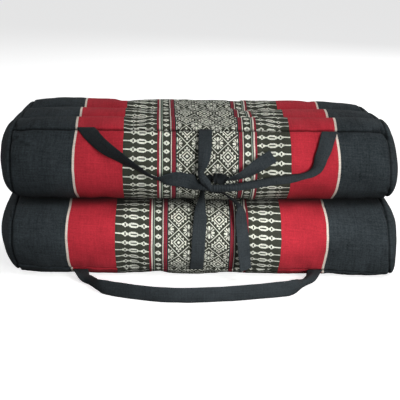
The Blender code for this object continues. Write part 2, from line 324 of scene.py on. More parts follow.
def section(height, squash, closeness):
    """A block's section as (y, h) points, h rising from the inner face at 0 to the channel crests."""
    fill = 1.0 - END_GROOVE_LOSS * closeness
    valley = height - VALLEY_DEPTH * fill
    seam = height - SEAM_DROP
    seams = ((INNER_FRONT_Y, INNER_SEAM_LIFT), (FRONT_SEAM_Y, seam), (VALLEY_FRONT_Y, valley),
             (VALLEY_BACK_Y, valley), (BACK_SEAM_Y, seam), (INNER_BACK_Y, INNER_SEAM_LIFT))
    side_rise = height + squash - (seam + valley) / 2
    # For each stretch: its rise, how its crest is shifted, and how full its first and its second half are
    shapes = (
        (FRONT_BULGE, 0.92, 2.5, 2.2),
        (side_rise, 0.86, 1.35, 2.3),
        (VALLEY_DEPTH * fill + squash, 1.0, 2.3, 2.3),
        (side_rise, 1.1, 2.3, 2.3),
        (BACK_BULGE, 1.0, 2.3, 2.3),
        (INNER_SEAM_LIFT + INNER_SQUASH, 1.0, 3.0, 3.0),
    )
    stretches = zip(seams, seams[1:] + seams[:1], STRETCHES, shapes)
    return np.concatenate([puff(start, end, steps, *shape) for start, end, steps, shape in stretches])


def nearness(x, side):
    """0 at the middle of a block, 1 at its end on one side, which is 1 for the right and -1 for the left."""
    return np.maximum(0.0, side * 2.0 * x / WIDTH)


def lean_end(x, h, height):
    """Draws the two ends of a block in along their top and bottom edges."""
    edge = (2.0 * h / height - 1.0) ** 2
    return x - np.copysign(END_LEAN * edge * (2.0 * np.abs(x) / WIDTH) ** 6, x)


def fill_low_corner(x, rise, height, corner):
    """x and rise with the right end's low corner filled out: how far out, how low and how sharply."""
    out, drop, sharpness = corner
    past_seam = np.clip((x - END_SEAM_X) / END_BULGE, 0.0, 1.0)
    end = nearness(x, 1.0) ** 6 * (1.0 - CORNER_TAPER * past_seam)
    low = (1.0 - rise / height) ** sharpness
    return x + out * end * low, rise * (1.0 - drop * end * low)


def tilt_seam(x, y, h, height, side):
    """h with the front seam nearer to the crests at one end of the block."""
    near = ((y - FRONT_SEAM_Y) ** 2 + (h - height + SEAM_DROP) ** 2) / SEAM_TILT_REACH ** 2
    return h + SEAM_TILT * (0.5 + side * x / WIDTH) * np.exp(-near)


def place_upper(x, y, h):
    """The upper block: crests up, settled a little lower at its rear right and front left."""
    height = HEIGHT - CONTACT_HEIGHT
    h = tilt_seam(x, y, h, height, -1)
    rear = np.clip((y - FRONT_SEAM_Y) / (BACK_SEAM_Y - FRONT_SEAM_Y), 0.0, 1.0)
    right = 0.5 + x / WIDTH
    sag = (REAR_RIGHT_SAG * rear * right + FRONT_LEFT_SAG * (1.0 - rear) * (1.0 - right)) * h / height
    draw = REAR_LEFT_DRAW * rear * nearness(x, -1.0) ** 4 * h / height
    draw = draw - REAR_RIGHT_DRAW * rear * nearness(x, 1.0) ** 4 * (h / height) ** 2
    full_x, rise = fill_low_corner(lean_end(x, h, height) + draw, h, height, UPPER_CORNER)
    return np.stack((full_x, y, CONTACT_HEIGHT + GAP / 2 + rise - sag), axis=-1)


def place_lower(x, y, h):
    """The lower block: turned over, crests on the floor, its bottom edge drawn back at the front left."""
    height = CONTACT_HEIGHT - GAP / 2
    h = tilt_seam(x, y, h, height, 1)
    full_x, rise = fill_low_corner(lean_end(x, h, height), height - h, height, LOWER_CORNER)
    front = np.clip((VALLEY_FRONT_Y - y) / (VALLEY_FRONT_Y - FRONT_SEAM_Y), 0.0, 1.0)
    back = LOWER_LEFT_DRAW * nearness(x, -1.0) * front * (h / height) ** 2
    back = back + (LOWER_DRAW - LOWER_RIGHT_PUSH * nearness(x, 1.0) ** 4) * front * (h / height) ** 5
    full_x = full_x * (1.0 + LOWER_WIDTH_GAIN / WIDTH) + LOWER_SHIFT_X
    return np.stack((full_x, y + back, rise), axis=-1)


def block_grid(height, squash, place):
    """A block's points: rings from the left end to the right, each once round the girth."""
    turn = (np.linspace(0.0, 1.0, END_STEPS + 1) ** END_BULGE_CURVE * math.pi / 2)[1:-1]
    rings = [(-END_SEAM_X - END_BULGE * math.sin(a), math.cos(a)) for a in reversed(turn)]
    for t in np.linspace(-1.0, 1.0, STATIONS):
        crowded = END_SEAM_X * math.sin(t * math.pi / 2) * STATION_CROWDING
        rings.append((crowded + END_SEAM_X * t * (1.0 - STATION_CROWDING), 1.0))
    rings += [(END_SEAM_X + END_BULGE * math.sin(a), math.cos(a)) for a in turn]
    middle = np.array(((FRONT_SEAM_Y + BACK_SEAM_Y) / 2, height / 2))
    flat = []
    for x, scale in rings:
        closeness = end_closeness(max(-END_SEAM_X, min(END_SEAM_X, x)))
        draw = np.array((1.0 - END_DRAW_Y * closeness, 1.0 - END_DRAW_H * closeness)) * scale
        flat.append(middle + (section(height, squash, closeness) - middle) * draw)
    flat = np.array(flat)
    x = np.array([ring[0] for ring in rings])
    y = flat[:, :, 0]
    h = np.clip(flat[:, :, 1], 0.0, height)
    return x, place(np.repeat(x[:, None], y.shape[1], axis=1), y, h)


def grid_normals(points):
    """Outward unit normals of a grid of rings."""
    lengthwise = np.gradient(points, axis=0)
    round_girth = np.roll(points, -1, axis=1) - np.roll(points, 1, axis=1)
    normals = np.cross(round_girth, lengthwise)
    normals /= np.maximum(np.linalg.norm(normals, axis=2, keepdims=True), 1e-12)
    outward = points - points.mean(axis=1, keepdims=True)
    if (normals * outward).sum() < 0.0:
        normals = -normals
    return normals


def girth_lengths(points):
    """How far round the middle ring each of its points lies, and its whole length."""
    ring = points[len(points) // 2]
    steps = np.linalg.norm(np.roll(ring, -1, axis=0) - ring, axis=1)
    total = np.cumsum(steps)
    return np.concatenate(((0.0,), total[:-1])), total[-1]


def seam_distances(points):
    """For each seam round the girth, how far past it each step of the girth lies."""
    lengths, total = girth_lengths(points)
    return [(lengths - lengths[step] + total / 2) % total - total / 2 for step in SEAM_STEPS[1:-1]]


def wander(values, wave, draw):
    """A smooth uneven curve from -1 to 1 whose waves are about wave long."""
    out = np.zeros_like(values)
    for share, part in ((0.5, 1.0), (0.3, 0.61), (0.2, 1.7)):
        out += share * np.sin(values * (2.0 * math.pi / (wave * part * draw.uniform(0.85, 1.15)))
                              + draw.uniform(0.0, 2.0 * math.pi))
    return out


def sewn_relief(x, points, seed):
    """How far each point of a block stands out or in: seams, puckers, lumps and the end ridges."""
    draw = random.Random(seed)
    lengths = girth_lengths(points)[0]
    relief = np.zeros(points.shape[:2])
    span = x[:, None]
    on_cover = np.clip(1.0 - (np.abs(span) - END_SEAM_X) / SEAM_END_FADE, 0.0, 1.0)
    for away in seam_distances(points):
        relief -= on_cover * SEAM_GROOVE * np.exp(-(away / SEAM_GROOVE_REACH) ** 2)
        for side in (-1.0, 1.0):
            near = np.where(away * side > 0.0, np.exp(-np.abs(away) / PUCKER_REACH), 0.0)
            near *= 1.0 - np.exp(-np.abs(away) / PUCKER_START)
            relief += on_cover * PUCKER_HEIGHT * wander(span, PUCKER_WAVE, draw) * near
    end = np.abs(span) - END_SEAM_X
    relief += END_RIDGE * np.exp(-((np.abs(end) - END_RIDGE_AWAY) / END_RIDGE_REACH) ** 2)
    relief -= END_GROOVE * np.exp(-(end / END_GROOVE_REACH) ** 2)
    for side in (-1.0, 1.0):
        near = np.where((span * side > 0.0) & (end < 0.0), np.exp(-np.abs(end) / END_PUCKER_REACH), 0.0)
        near *= 1.0 - np.exp(-np.abs(end) / END_PUCKER_START)
        relief += PUCKER_HEIGHT * wander(lengths[None, :], END_PUCKER_WAVE, draw) * near
    offset = Vector((seed * 3.7, seed * 1.3, 0.0))

    def lump(point):
        small = noise.noise(Vector(point) * SMALL_LUMP_SCALE + offset)
        return noise.noise(Vector(point) * LUMP_SCALE + offset) + 0.5 * small

    return relief + LUMP_HEIGHT * np.array([[lump(point) for point in ring] for ring in points])


def spread(values, rows, columns, row_count, column_count):
    """Values known at some rows and columns, spread over the whole grid and smoothed."""
    wide = np.array([np.interp(np.arange(column_count), columns, line) for line in values])
    full = np.array([np.interp(np.arange(row_count), rows, line) for line in wide.T]).T
    for turn in range(3):
        full[1:-1] = (full[:-2] + 2.0 * full[1:-1] + full[2:]) / 4.0
        full = (np.roll(full, 1, axis=1) + 2.0 * full + np.roll(full, -1, axis=1)) / 4.0
    return full


def coarse_skin(grid):
    """A closed skin over a coarse grid of points, with its two end rings filled in."""
    rings, count = grid.shape[:2]
    faces = [ring_quad(i, j, count) for i in range(rings - 1) for j in range(count)]
    faces.append(list(range(count)))
    faces.append([(rings - 1) * count + j for j in range(count - 1, -1, -1)])
    return mesh_object("settling", grid.reshape(-1, 3), faces)


def fill_with_air(piece):
    """Runs the cloth simulation on a skin. Its group held stays put. Gives where its points end."""
    cloth = piece.modifiers.new("cloth", "CLOTH")
    for name, value in SIM_SETTINGS.items():
        setattr(cloth.settings, name, value)
    cloth.settings.effector_weights.gravity = 0.0
    cloth.collision_settings.use_collision = False
    cloth.point_cache.frame_start = 1
    cloth.point_cache.frame_end = SIM_FRAMES
    for frame_number in range(1, SIM_FRAMES + 1):
        bpy.context.scene.frame_set(frame_number)
    solved = piece.evaluated_get(bpy.context.evaluated_depsgraph_get()).to_mesh()
    moved = np.array([v.co for v in solved.vertices])
    bpy.data.objects.remove(piece)
    bpy.context.scene.frame_set(1)
    return moved


def settled_relief(x, points):
    """How far each point of a block stands out once a coarse copy of its skin is filled with air."""
    rings = [i for i in range(len(x)) if abs(x[i]) <= END_SEAM_X + ROUNDING]
    rings = rings[:-1:SIM_EVERY_RING] + rings[-1:]
    steps = sorted(set(range(0, points.shape[1], SIM_EVERY_STEP)) | set(SEAM_STEPS[:-1].tolist()))
    coarse = points[np.ix_(rings, steps)]
    piece = coarse_skin(coarse)
    held = piece.vertex_groups.new(name="held")
    sewn_or_inner = [j for j, step in enumerate(steps) if step in SEAM_STEPS or step >= BACK_STEP]
    for i in range(len(rings)):
        fixed = range(len(steps)) if i in (0, len(rings) - 1) else sewn_or_inner
        held.add([i * len(steps) + j for j in fixed], 1.0, "REPLACE")
    moved = fill_with_air(piece).reshape(coarse.shape) - coarse
    out = (moved * grid_normals(points)[np.ix_(rings, steps)]).sum(axis=2)
    relief = spread(out, rings, steps, *points.shape[:2])
    relief[:rings[0]] = 0.0
    relief[rings[-1] + 1:] = 0.0
    relief -= relief[np.abs(x) < SIM_MIDDLE].mean(axis=0)
    relief *= np.clip((END_SEAM_X - np.abs(x)) / SIM_END_FADE, 0.0, 1.0)[:, None]
    return SIM_CAP * np.tanh(relief / SIM_CAP)


# Wrinkles on the front of a block, in millimetres: two ends as x and z, depth and reach
UPPER_WRINKLES = (
    (-165.5, 151, -175, 148, 1.6, 1.6),
    (-181, 153, -178, 148, 1.4, 1.5),
    (-183.5, 138, -177.5, 141.5, 1.2, 1.5),
    (-173, 138, -165.5, 135, 0.8, 1.8),
    (177.5, 151, 183, 143, 2.2, 1.5),
    (181.5, 147.5, 187, 139.5, 2, 1.4),
    (169, 150.5, 177.5, 149, 1, 1.6),
    (177.5, 86.5, 185, 84.5, 1.2, 1.4),
    (183.5, 94.5, 187.5, 88, 1.2, 1.3),
)
LOWER_WRINKLES = (
    (176, 83, 181.5, 76, 1.8, 1.5),
    (182, 70.5, 186, 63.5, 1.2, 1.3),
    (-187, 67, -185, 61.5, 1, 1.4),
    (-183.5, 80, -175.5, 74, 0.8, 1.8),
)


def wrinkle_closeness(points, wrinkle):
    """1 along the bottom of a wrinkle on the front of a block, fading to 0 away from it."""
    x1, z1, x2, z2, depth, reach = (value * MM for value in wrinkle)
    along = np.array((x2 - x1, z2 - z1))
    offset = points[:, :, (0, 2)] - np.array((x1, z1))
    share = np.clip(offset @ along / (along @ along), 0.0, 1.0)
    away = np.linalg.norm(offset - share[:, :, None] * along, axis=2)
    return np.where(points[:, :, 1] < INNER_FRONT_Y, np.exp(-(away / reach) ** 2), 0.0)


class Panel:
    """One cut piece of a cover, from its first step round the girth to its last.

    knots pairs distances round the girth with distances on the cloth. centre is the stripes' middle line,
    both in millimetres. left and right are the stretch on each side of it, bow how much more of it there is
    between the seams, and skew the slope of the rows.
    """

    def __init__(self, first, last, knots, centre, left, right, bow, skew):
        self.first, self.last = first, last
        self.girth, self.cloth = (np.array(column) * MM for column in zip(*knots))
        self.centre = centre * MM
        self.left, self.right, self.bow, self.skew = left, right, bow, skew

    def place(self, x, along):
        """The cloth coordinates of a point at x and along the girth."""
        inner = np.interp(along, self.girth, self.cloth)
        inner += min(0.0, along - self.girth[0]) + max(0.0, along - self.girth[-1])
        share = min(1.0, max(0.0, (along - self.girth[0]) / (self.girth[-1] - self.girth[0])))
        across = x - self.centre
        stretch = (self.left if across < 0.0 else self.right) - 1.0 + self.bow * math.sin(math.pi * share)
        across /= 1.0 + stretch * min(1.0, abs(across) / STRETCH_REACH)
        return across, inner + self.skew * across


STRETCH_REACH = 0.126
UPPER_PANELS = (
    Panel(0, FRONT_STEP, ((-80.7, -59.1), (-70.2, -46), (-57, -29.3), (0, 27.7)),
          6.4, 1.002, 0.988, 0.02, 0.03),
    Panel(FRONT_STEP, TOP_STEP, ((0, 34.7), (16, 53.5), (75.8, 105.6), (149.4, 178.2), (190, 218.8)),
          5.7, 0.996, 1, 0.008, 0.08),
    Panel(TOP_STEP, BACK_STEP, ((190, 224), (270, 304)), 5.7, 0.985, 0.985, 0.02, 0.02),
    Panel(BACK_STEP, INNER_STEP, ((270, 310), (440, 480)), 6.4, 1.002, 0.988, 0, 0.03),
)
LOWER_PANELS = (
    Panel(0, FRONT_STEP, ((-80.7, -44.1), (0, 36.6)), -2.2, 0.997, 0.974, 0.018, -0.09),
    Panel(FRONT_STEP, TOP_STEP, ((0, 40), (190, 230)), -2.2, 0.99, 0.98, 0, 0),
    Panel(TOP_STEP, BACK_STEP, ((190, 236), (270, 316)), -2.2, 0.985, 0.985, 0.02, 0.02),
    Panel(BACK_STEP, INNER_STEP, ((270, 320), (440, 490)), -2.2, 0.997, 0.974, 0, -0.09),
)


def painted_crease_shade(x, points):
    """Painted shade on a block, from 0 to 1: in its seams, at its end seams, in the fold between the blocks
    and above it.
    """
    depth = END_SEAM_PAINTED_SHADE * np.exp(-((np.abs(x[:, None]) - END_SEAM_X) / PAINTED_CREASE_REACH) ** 2)
    depth = np.repeat(depth, points.shape[1], axis=1)
    for away in seam_distances(points):
        seam = SEAM_PAINTED_SHADE * np.exp(-(away / PAINTED_CREASE_REACH) ** 2)
        depth = np.maximum(depth, np.where(np.abs(x[:, None]) < END_SEAM_X, seam, 0.0))
    # Painted shade in the fold between the blocks, and on the upper block's underside above it
    above = points[:, :, 2] - CONTACT_HEIGHT
    shade = np.where(above > 0.0, UNDERSIDE_PAINTED_SHADE * np.exp(-above / UNDERSIDE_PAINTED_SHADE_REACH), 0.0)
    return np.maximum(depth, np.maximum(shade, FOLD_PAINTED_SHADE * np.exp(-np.abs(above) / FOLD_PAINTED_SHADE_REACH)))


def cap_end(i, side, points, vertices, painted_shades):
    """Closes the end of a cover with a fan on its last ring. Gives the fan's faces and cloth coordinates."""
    count = points.shape[1]
    middle = points[i].mean(axis=0)
    tip = len(vertices)
    vertices.append((middle[0] + side * FAN_RISE, middle[1], middle[2]))
    painted_shades.append(0.0)
    faces = []
    uvs = []
    for j in range(count):
        k = (j + 1) % count
        first, second = (k, j) if side < 0.0 else (j, k)
        faces.append((i * count + first, i * count + second, tip))
        uvs += [(END_CLOTH + point[1], point[2]) for point in (points[i, first], points[i, second], middle)]
    return faces, uvs


def make_cover(name, height, squash, place, seed, panels, wrinkles, low, high, material):
    """A block's cover as one closed skin, with its end panels."""
    x, points = block_grid(height, squash, place)
    # Painted shade for the seams, the end seams and the fold between the blocks, which darkens the cloth's
    # colour
    depth = painted_crease_shade(x, points)
    lengths, total = girth_lengths(points)
    lengths = np.append(lengths, total) - lengths[FRONT_STEP]
    relief = sewn_relief(x, points, seed) + settled_relief(x, points)
    for wrinkle in wrinkles:
        closeness = wrinkle_closeness(points, wrinkle)
        relief -= wrinkle[4] * MM * closeness
        # Painted shade along the bottom of the wrinkle
        depth = np.maximum(depth, WRINKLE_PAINTED_SHADE * closeness ** 2)
    points = points + grid_normals(points) * relief[:, :, None]
    points[:, :, 2] = np.clip(points[:, :, 2], low, high)
    rings, count = points.shape[:2]
    vertices = list(points.reshape(-1, 3))
    painted_shades = list(depth.ravel())
    cloth = {}
    for panel in panels:
        for j in range(panel.first, panel.last + 1):
            for i in range(rings):
                cloth[panel, i, j] = panel.place(x[i], lengths[j])
    faces = []
    uvs = []
    for i in range(rings - 1):
        on_end = min(abs(x[i]), abs(x[i + 1])) > END_SEAM_X - ROUNDING
        for panel in panels:
            for j in range(panel.first, panel.last):
                faces.append(ring_quad(i, j, count))
                for a, b in ((i, j), (i, j + 1), (i + 1, j + 1), (i + 1, j)):
                    point = points[a, b % count]
                    uvs.append((END_CLOTH + point[1], point[2]) if on_end else cloth[panel, a, b])
    for i, side in ((0, -1.0), (rings - 1, 1.0)):
        fan_faces, fan_uvs = cap_end(i, side, points, vertices, painted_shades)
        faces += fan_faces
        uvs += fan_uvs
    cover = mesh_object(name, vertices, faces, uvs, painted_shades)
    cover.data.materials.append(material)
    return cover


# Straps: each row is x, y and z of the middle in millimetres, roll in degrees, how far it is gathered (less
# than 0 with a valley along its middle), and how much painted shade the folds over it put on its colour
UPPER_HANDLE_ROWS = (
    (-112, -79.5, 151.5, 0, 0, 0.4),
    (-109.5, -84, 150.5, -4, 0, 0.35),
    (-104, -91, 145.5, -10, 0.02, 0.35),
    (-97, -97.5, 139.5, -16, 0.04, 0.35),
    (-89.5, -102.5, 134.5, -24, 0.04, 0.35),
    (-80, -106, 129, -38, 0.04, 0.35),
    (-70.5, -107.5, 123, -52, 0.04, 0.35),
    (-58.5, -107.5, 116, -66, 0.04, 0.35),
    (-46.5, -107.5, 109, -74, 0.04, 0.1),
    (-39, -107, 107, -64, 0.06, 0.15),
    (-31.5, -106.5, 107, -30, -0.06, 0.1),
    (-23, -106, 107, -10, -0.04, 0),
    (-12.5, -105.5, 105, 0, -0.06, 0.1),
    (-5, -105, 101, 2, 0.32, 0.35),
    (2.5, -105, 99, 2, 0.52, 0),
    (10.5, -105.5, 98, 4, 0.56, 0),
    (20, -106, 98, 8, 0.54, 0),
    (29.5, -106.5, 99, 14, 0.52, 0),
    (40, -106.5, 100.5, 24, 0.5, 0),
    (53.5, -106.5, 103, 36, 0.46, 0),
    (70, -106.5, 106.5, 48, 0.36, 0),
    (85, -107, 108.5, 60, 0.26, 0),
    (98.5, -107.5, 111.5, 72, 0.22, 0),
    (106.5, -107, 114.5, 58, 0.28, 0),
    (112, -105, 119.5, 36, 0.26, 0),
    (115.5, -101, 127.5, 14, 0.18, 0),
    (119.5, -96, 135.5, 4, 0.10, 0),
    (122.5, -89, 143.5, 0, 0.05, 0),
    (125, -79.5, 149.5, 0, 0, 0),
)
LOWER_HANDLE_ROWS = (
    (-118, -78.5, 8.5, 84, 0, 0.2),
    (-113, -93, 6, 62, 0.24, 0.15),
    (-107, -104, 5.5, 36, 0.40, 0.1),
    (-101.5, -118, 6, 12, 0.30, 0),
    (-96, -130.5, 7, -4, 0.06, 0),
    (-86.5, -137.5, 7.5, -6, 0, 0),
    (-74, -144, 7.5, -8, 0, 0),
    (-62, -149.5, 7.5, -8, 0, 0),
    (-40, -157, 7.5, -8, 0, 0),
    (-22, -159, 7.5, -8, 0, 0),
    (-6, -159, 7.5, -8, 0, 0),
    (28, -154, 7.5, -6, 0, 0),
    (51, -148, 7.5, -4, 0, 0),
    (74, -141, 7.5, 0, 0, 0),
    (86, -135.5, 7.5, 2, 0, 0),
    (93, -127.5, 7, 10, 0.14, 0),
    (98.5, -116, 6, 28, 0.42, 0),
    (104.5, -105.5, 5.5, 48, 0.50, 0.1),
    (110, -95, 6, 68, 0.26, 0.15),
    (116, -79, 8.5, 84, 0, 0.2),
)
UPPER_TIE_ROWS = (
    (4.5, -79.5, 150.5, 0, 0, 0.15),
    (4, -90, 142, 0, 0, 0.12),
    (3.5, -98.5, 133, 0, 0.02, 0.12),
    (2.5, -101.5, 124, 0, 0.16, 0.15),
    (0.5, -105.5, 118, 0, 0.42, 0.3),
    (-0.5, -110, 114, 0, 0.52, 0.1),
    (1.5, -112, 109, 0, 0.42, 0),
    (5, -112, 104, 0, 0.42, 0),
    (8, -109, 99.5, 0, 0.54, 0.1),
    (11, -102, 95, 0, 0.72, 0.5),
    (16.5, -100, 93.5, 16, 0.8, 0.6),
    (23, -98.5, 91, 34, 0.84, 0.6),
    (29.5, -95.5, 86, 44, 0.84, 0.5),
    (35, -93.5, 81.5, 40, 0.74, 0.3),
    (38.5, -93.5, 77.5, 32, 0.48, 0.1),
    (40, -95.5, 72.5, 26, 0.24, 0),
    (40, -98, 66, 22, 0.1, 0),
    (42, -102.5, 43, 20, 0, 0),
    (43, -102, 32.5, 24, 0, 0),
    (44, -101, 23.5, 28, 0, 0),
    (45, -99.5, 15, 32, 0, 0),
)
LOWER_TIE_ROWS = (
    (-3, -81, 10.5, 0, 0, 0),
    (-2.5, -90, 20, 0, 0, 0),
    (-2, -97, 31, 0, 0, 0),
    (-1.5, -99.5, 46.5, 0, 0, 0),
    (0, -95, 65, 0, 0.02, 0),
    (0, -91.5, 72.5, 0, 0.16, 0.05),
    (1, -90, 80, 0, 0.38, 0.2),
    (1.5, -91.5, 86.5, 0, 0.56, 0.6),
    (2.5, -97, 94.5, 0, 0.66, 0.7),
    (5, -101, 101.5, 0, 0.48, 0.65),
    (8.5, -102.5, 106.5, -12, 0.26, 0.6),
    (15.5, -103, 107, -28, 0.22, 0.6),
    (24, -103.5, 106.5, -44, 0.2, 0.55),
    (33, -104, 107.5, -36, 0.2, 0.35),
    (42, -105, 111.5, -22, 0.18, 0.15),
    (50, -105, 117, -8, 0.1, 0),
    (59, -104, 123, 6, 0, 0),
    (69, -103, 129.5, 14, 0, 0),
)
STRAP_STEPS = 16
STRAP_COLUMNS = 13
STRAP_CLEARANCE = 0.0005
STRAP_EDGE_THICKNESS = 0.12
STITCH_AT = 0.80
STITCH_DEPTH = 0.22
STITCH_REACH = 0.07
GATHER_FOLD = 0.45
GATHER_CURVE = 1.3
RIPPLE_HEIGHT = 0.0004
RIPPLE_WAVE = 0.021
EDGE_RIPPLE_HEIGHT = 0.0003
EDGE_RIPPLE_WAVE = 0.034
PLEAT_FROM = 0.3
PLEAT_HEIGHT = 0.0007
PLEAT_LENGTH = 0.0026


def smooth_rows(rows, steps):
    """The rows with steps between them, on a Catmull-Rom curve through every column."""
    rows = np.array(rows, dtype=float)
    knots = np.array([2 * rows[0] - rows[1], *rows, 2 * rows[-1] - rows[-2]])
    out = []
    for i in range(1, len(knots) - 2):
        before, start, end, after = knots[i - 1:i + 3]
        slope_in = (end - before) / 2
        slope_out = (after - start) / 2
        cubic = 2 * (start - end) + slope_in + slope_out
        square = 3 * (end - start) - 2 * slope_in - slope_out
        for step in range(steps):
            t = step / steps
            out.append(start + t * (slope_in + t * (square + t * cubic)))
    out.append(knots[-2])
    return np.array(out)


def handle_level(along):
    """The width of a handle at roll 0: in the plane of the front."""
    return Vector((0, 1, 0)).cross(along).normalized()


def tie_level(along):
    """The width of a tie at roll 0: as near to +X as it can lie."""
    return (Vector((1, 0, 0)) - along * along.x).normalized()


def strap_profile():
    """Once round a strap's section: across from -1 to 1 and back, with how thick it is there."""
    across = np.sin(np.linspace(-math.pi / 2, math.pi / 2, STRAP_COLUMNS))
    half = np.sqrt(np.maximum(0.0, 1.0 - np.abs(across) ** 10))
    half = np.maximum(half, STRAP_EDGE_THICKNESS)
    half -= STITCH_DEPTH * np.exp(-((np.abs(across) - STITCH_AT) / STITCH_REACH) ** 2)
    front = list(zip(across, half))
    return front + [(a, -t) for a, t in reversed(front)]


def push_off(corners, surfaces):
    """Moves a strap's section forward until it clears the cloth that it lies on."""
    push = 0.0
    outward = Vector((0, -1, 0))
    for corner in corners:
        for surface in surfaces:
            hit = surface.ray_cast(corner + outward * RAY_START, -outward)[0]
            if hit is not None:
                push = max(push, STRAP_CLEARANCE - (corner - hit).dot(outward))
    return [corner + outward * push for corner in corners]


def strap_axes(rows, centres, level_of, both_ends):
    """For each row, which way the strap's width lies and which way it faces. Sewn ends turn level."""
    axes = []
    facing = None
    for i, row in enumerate(rows):
        along = (centres[min(i + 1, len(rows) - 1)] - centres[max(i - 1, 0)]).normalized()
        level = level_of(along)
        out = level.cross(along)
        roll = math.radians(row[3])
        across = level * math.cos(roll) + out * math.sin(roll)
        start_hold = max(0.0, 1.0 - (centres[i] - centres[0]).length / SEAM_REACH)
        end_hold = max(0.0, 1.0 - (centres[i] - centres[-1]).length / SEAM_REACH) * both_ends
        sewn = max(start_hold, end_hold)
        across = across.lerp(Vector((math.copysign(1.0, across.x), 0, 0)), sewn).normalized()
        face = along.cross(across).normalized()
        if facing is None and face.y > 0.0 or facing is not None and face.dot(facing) < 0.0:
            face = -face
        facing = face
        axes.append((across, face))
    return axes


def flat_tube(row_count, columns):
    """Faces of a sheet with a thickness: in each row its front's columns, then its back's the other way."""
    count = 2 * columns
    faces = [ring_quad(i, j, count) for i in range(row_count - 1) for j in range(count)]
    for end in (0, row_count - 1):
        for j in range(columns - 1):
            quad = [j, j + 1, count - 2 - j, count - 1 - j]
            if end == 0:
                quad.reverse()
            faces.append([end * count + q for q in quad])
    return faces


def make_strap(name, rows, width, level_of, both_ends, surfaces, material, seed):
    """A flat strap with stitched edges along its rows. Where it is gathered it folds along its middle."""
    rows = smooth_rows(rows, STRAP_STEPS)
    centres = [Vector(row[:3]) * MM for row in rows]
    profile = strap_profile()
    draw = random.Random(seed)
    lengths = [0.0]
    for a, b in zip(centres, centres[1:]):
        lengths.append(lengths[-1] + (b - a).length)
    ripple = wander(np.array(lengths), RIPPLE_WAVE, draw)
    edge_ripple = wander(np.array(lengths), EDGE_RIPPLE_WAVE, draw)
    vertices = []
    painted_shades = []
    for i, (across, face) in enumerate(strap_axes(rows, centres, level_of, both_ends)):
        gather, painted_fold_shade = rows[i][4:]
        narrowed = min(1.0, abs(gather))
        fold = width / 2 * math.sqrt(1.0 - (1.0 - narrowed) ** 2) * math.copysign(GATHER_FOLD, gather)
        bow = fold + RIPPLE_HEIGHT * ripple[i]
        pleat = PLEAT_HEIGHT * max(0.0, narrowed - PLEAT_FROM) / PLEAT_FROM
        pleat *= math.sin(2.0 * math.pi * lengths[i] / PLEAT_LENGTH)
        corners = []
        for a, t in profile:
            wave = EDGE_RIPPLE_HEIGHT * edge_ripple[i] * a ** 3
            out = bow * (1.0 - abs(a) ** GATHER_CURVE) - fold * 0.5 + wave + pleat + STRAP_THICKNESS / 2 * t
            offset = across * (width / 2 * (1.0 - narrowed) * a) + face * out
            corners.append(centres[i] + offset)
        corners = push_off(corners, surfaces)
        lift = max(0.0, -min(corner.z for corner in corners))
        vertices += [corner + Vector((0, 0, lift)) for corner in corners]
        # Painted shade of the folds over the strap, the same for each point of a row
        painted_shades += [min(1.0, max(0.0, painted_fold_shade))] * len(corners)
    faces = flat_tube(len(rows), STRAP_COLUMNS)
    places = [divmod(q, len(profile)) for face in faces for q in face]
    uvs = [(profile[column][0] * width / 2, lengths[row]) for row, column in places]
    strap = mesh_object(name, vertices, faces, uvs, painted_shades)
    strap.data.materials.append(material)
    return strap, lengths[-1]


# Hinge cloth at the back
HINGE_HALF_HEIGHT = 0.021
HINGE_TUCK = 0.0075
HINGE_HALF_WIDTH = 0.165
HINGE_CLEARANCE = 0.0006
HINGE_THICKNESS = STRAP_THICKNESS * 0.75
HINGE_TUCK_CURVE = 1.5
HINGE_SLACK = 0.0012
HINGE_SLACK_WAVE = 0.09
HINGE_PUCKER = 0.0005
HINGE_PUCKER_WAVE = 0.016
HINGE_PUCKER_FADE = 4.0
HINGE_STEPS_X = 110
HINGE_STEPS_Z = 26


def back_surface(x, z, surfaces):
    """How far back the blocks reach at x and z."""
    found = VALLEY_BACK_Y
    for surface in surfaces:
        hit = surface.ray_cast(Vector((x, RAY_START, z)), Vector((0, -1, 0)))[0]
        if hit is not None:
            found = max(found, hit.y)
    return found


def make_hinge(name, surfaces, material):
    """A strip of cloth over the back of both blocks, tucked a little into the notch between them."""
    draw = random.Random(31)
    xs = np.linspace(-HINGE_HALF_WIDTH, HINGE_HALF_WIDTH, HINGE_STEPS_X + 1)
    pucker = wander(xs, HINGE_PUCKER_WAVE, draw)
    slack = wander(xs, HINGE_SLACK_WAVE, draw)
    vertices = []
    for i, x in enumerate(xs):
        upper = back_surface(x, CONTACT_HEIGHT + HINGE_HALF_HEIGHT, surfaces)
        lower = back_surface(x, CONTACT_HEIGHT - HINGE_HALF_HEIGHT, surfaces)
        inner = []
        for t in np.linspace(-1.0, 1.0, HINGE_STEPS_Z + 1):
            z = CONTACT_HEIGHT + HINGE_HALF_HEIGHT * t
            tuck = (HINGE_TUCK + HINGE_SLACK * slack[i]) * (1.0 - abs(t)) ** HINGE_TUCK_CURVE
            seat = max(back_surface(x, z, surfaces), (upper if t > 0 else lower) - tuck)
            raised = HINGE_PUCKER * (1.0 + pucker[i] * math.exp(-(1.0 - abs(t)) * HINGE_PUCKER_FADE))
            inner.append((x, seat + HINGE_CLEARANCE + raised, z))
        vertices += [(x, y + HINGE_THICKNESS, z) for x, y, z in inner] + inner[::-1]
    faces = flat_tube(len(xs), HINGE_STEPS_Z + 1)
    uvs = [(vertices[q][0], vertices[q][2]) for face in faces for q in face]
    hinge = mesh_object(name, vertices, faces, uvs, [0.0] * len(vertices))
    hinge.data.materials.append(material)
    return hinge


